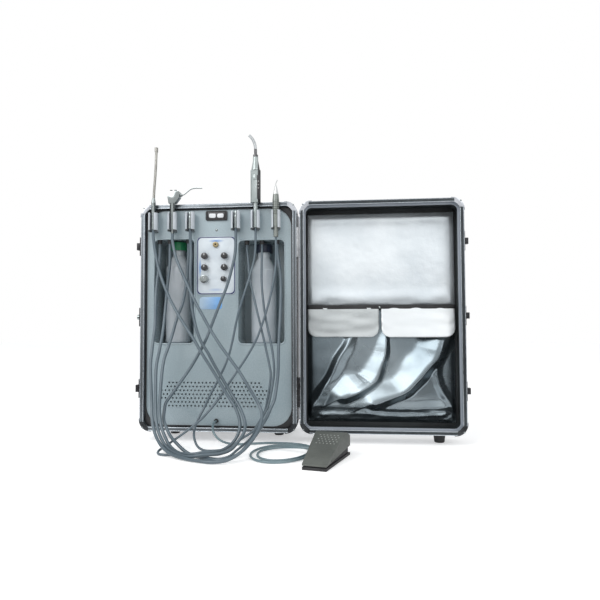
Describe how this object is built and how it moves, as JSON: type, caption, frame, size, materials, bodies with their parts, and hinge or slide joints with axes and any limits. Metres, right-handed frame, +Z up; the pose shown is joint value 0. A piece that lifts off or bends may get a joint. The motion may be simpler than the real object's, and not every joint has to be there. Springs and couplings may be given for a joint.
{
  "type": "portable dental unit",
  "caption": "Portable dental unit in an upright metal suitcase with open lid, instrument holders, bottle bays, control plate, hoses and foot pedal.",
  "frame": {"origin": "on the floor, under the middle of the body half's front opening", "axes": "+X to the right across the opened lid, +Y into the case, +Z up"},
  "size_m": [0.8813, 0.489, 0.8147],
  "materials": {
    "shell": "satin",
    "edge_metal": "satin",
    "guard": "satin",
    "foot_rubber": "matte",
    "hinge_metal": "brushed",
    "panel": "satin",
    "plate": "semi-gloss",
    "light_plastic": "gloss",
    "brass": "machined",
    "steel": "polished",
    "bottle": "translucent",
    "hose": "satin",
    "pale_hose": "satin",
    "lining": "matte",
    "leather": "silver grained",
    "knob": "satin",
    "green_cap": "gloss",
    "dark_cap": "gloss",
    "pedal": "textured matte"
  },
  "bodies": {
    "case": {"body_shell": "shell", "body_edge_frame": "edge_metal", "body_corners": "guard", "body_feet": "foot_rubber", "hinge_leaves_body": "hinge_metal", "latch_bases": "guard", "face_panel": "panel", "control_plate": "plate", "instrument_holders": "light_plastic", "switch_bezel": "light_plastic", "valve_block": "brass", "suction_handle": "steel", "suction_tip": "light_plastic", "syringe_body": "steel", "tubing_couplings": "steel", "curing_light_body": "light_plastic", "scaler_handpiece": "light_plastic", "waste_bottle": "bottle", "water_bottle": "bottle", "suction_hose": "hose", "syringe_hose": "hose", "left_handpiece_hose": "hose", "right_handpiece_hose": "hose", "curing_light_cord": "hose", "scaler_hose": "hose", "foot_hose": "pale_hose", "hose_glands": "foot_rubber", "pedal_base": "guard", "pedal_spring": "steel", "compressor": "shell", "air_tank": "edge_metal", "power_supply": "shell"},
    "lid": {"lid_shell": "shell", "lid_edge_frame": "edge_metal", "lid_corners": "guard", "lid_feet": "foot_rubber", "hinge_leaves_lid": "hinge_metal", "latch_keepers": "guard", "lid_liner": "lining", "lid_pad": "leather", "lid_pouch": "leather"},
    "upper_latch_lever": {"upper_latch_lever": "guard"},
    "lower_latch_lever": {"lower_latch_lever": "guard"},
    "key_lock": {"key_lock": "steel"},
    "power_rocker": {"power_rocker": "light_plastic"},
    "left_air_knob": {"left_air_knob": "knob"},
    "right_air_knob": {"right_air_knob": "knob"},
    "left_water_knob": {"left_water_knob": "knob"},
    "right_water_knob": {"right_water_knob": "knob"},
    "pressure_knob": {"pressure_knob": "steel"},
    "scaler_knob": {"scaler_knob": "knob"},
    "syringe_nozzle": {"syringe_nozzle": "steel"},
    "syringe_air_button": {"syringe_air_button": "knob"},
    "syringe_water_button": {"syringe_water_button": "knob"},
    "curing_light_guide": {"curing_light_guide": "knob"},
    "curing_light_button": {"curing_light_button": "knob"},
    "waste_bottle_cap": {"waste_bottle_cap": "green_cap"},
    "water_bottle_cap": {"water_bottle_cap": "dark_cap"},
    "pedal_tread": {"pedal_tread": "pedal"},
    "cooling_fan": {"cooling_fan": "knob"}
  },
  "joints": [
    {"name": "lid_hinge", "type": "hinge", "parent": "case", "child": "lid", "pos_m": [0.2165, -0.001, 0.33], "axis": [0, 0, 1], "range_deg": [-35, 0]},
    {"name": "upper_latch_pivot", "type": "hinge", "parent": "case", "child": "upper_latch_lever", "pos_m": [-0.22, 0.026, 0.522], "axis": [0, 0, -1], "range_deg": [0, 90]},
    {"name": "lower_latch_pivot", "type": "hinge", "parent": "case", "child": "lower_latch_lever", "pos_m": [-0.22, 0.026, 0.138], "axis": [0, 0, -1], "range_deg": [0, 90]},
    {"name": "key_turn", "type": "hinge", "parent": "case", "child": "key_lock", "pos_m": [-0.22, 0.018, 0.33], "axis": [-1, 0, 0], "range_deg": [0, 90]},
    {"name": "rocker_pivot", "type": "hinge", "parent": "case", "child": "power_rocker", "pos_m": [-0.0055, 0.014, 0.60275], "axis": [0, 0, 1], "range_deg": [0, 8]},
    {"name": "left_air_turn", "type": "hinge", "parent": "case", "child": "left_air_knob", "pos_m": [-0.036, 0, 0.493], "axis": [0, -1, 0], "range_deg": [0, 270]},
    {"name": "right_air_turn", "type": "hinge", "parent": "case", "child": "right_air_knob", "pos_m": [0.018, 0, 0.493], "axis": [0, -1, 0], "range_deg": [0, 270]},
    {"name": "left_water_turn", "type": "hinge", "parent": "case", "child": "left_water_knob", "pos_m": [-0.036, 0, 0.462], "axis": [0, -1, 0], "range_deg": [0, 270]},
    {"name": "right_water_turn", "type": "hinge", "parent": "case", "child": "right_water_knob", "pos_m": [0.018, 0, 0.462], "axis": [0, -1, 0], "range_deg": [0, 270]},
    {"name": "pressure_turn", "type": "hinge", "parent": "case", "child": "pressure_knob", "pos_m": [-0.037, 0, 0.431], "axis": [0, -1, 0], "range_deg": [0, 270]},
    {"name": "scaler_power_turn", "type": "hinge", "parent": "case", "child": "scaler_knob", "pos_m": [0.016, 0, 0.431], "axis": [0, -1, 0], "range_deg": [-135, 135]},
    {"name": "nozzle_swivel", "type": "hinge", "parent": "case", "child": "syringe_nozzle", "pos_m": [-0.1, -0.01, 0.656], "axis": [1, 0, 0], "range_deg": [-180, 180]},
    {"name": "air_button_press", "type": "slide", "parent": "case", "child": "syringe_air_button", "axis": [0, 0, -1], "range_m": [0, 0.0025], "stiffness_N_per_m": 400},
    {"name": "water_button_press", "type": "slide", "parent": "case", "child": "syringe_water_button", "axis": [0, 0, -1], "range_m": [0, 0.0025], "stiffness_N_per_m": 400},
    {"name": "light_button_press", "type": "slide", "parent": "case", "child": "curing_light_button", "axis": [0, 1, 0], "range_m": [0, 0.0015], "stiffness_N_per_m": 400},
    {"name": "light_guide_turn", "type": "hinge", "parent": "case", "child": "curing_light_guide", "pos_m": [0.105, -0.01, 0.76], "axis": [0, 0, 1], "range_deg": [-180, 180]},
    {"name": "waste_cap_turn", "type": "hinge", "parent": "case", "child": "waste_bottle_cap", "pos_m": [-0.126, 0.062, 0.52], "axis": [0, 0, 1], "range_deg": [0, 360]},
    {"name": "water_cap_turn", "type": "hinge", "parent": "case", "child": "water_bottle_cap", "pos_m": [0.115, 0.062, 0.51], "axis": [0, 0, 1], "range_deg": [0, 360]},
    {"name": "pedal_press", "type": "hinge", "parent": "case", "child": "pedal_tread", "pos_m": [0.28365, -0.22887, 0.015], "axis": [-0.9744, 0.225, 0], "range_deg": [0, 5], "stiffness_Nm_per_rad": 12, "springref_deg": -3.44, "deforming": ["pedal_spring"]},
    {"name": "fan_spin", "type": "hinge", "parent": "case", "child": "cooling_fan", "pos_m": [0.084, 0.115, 0.126], "axis": [1, 0, 0], "continuous": true}
  ]
}
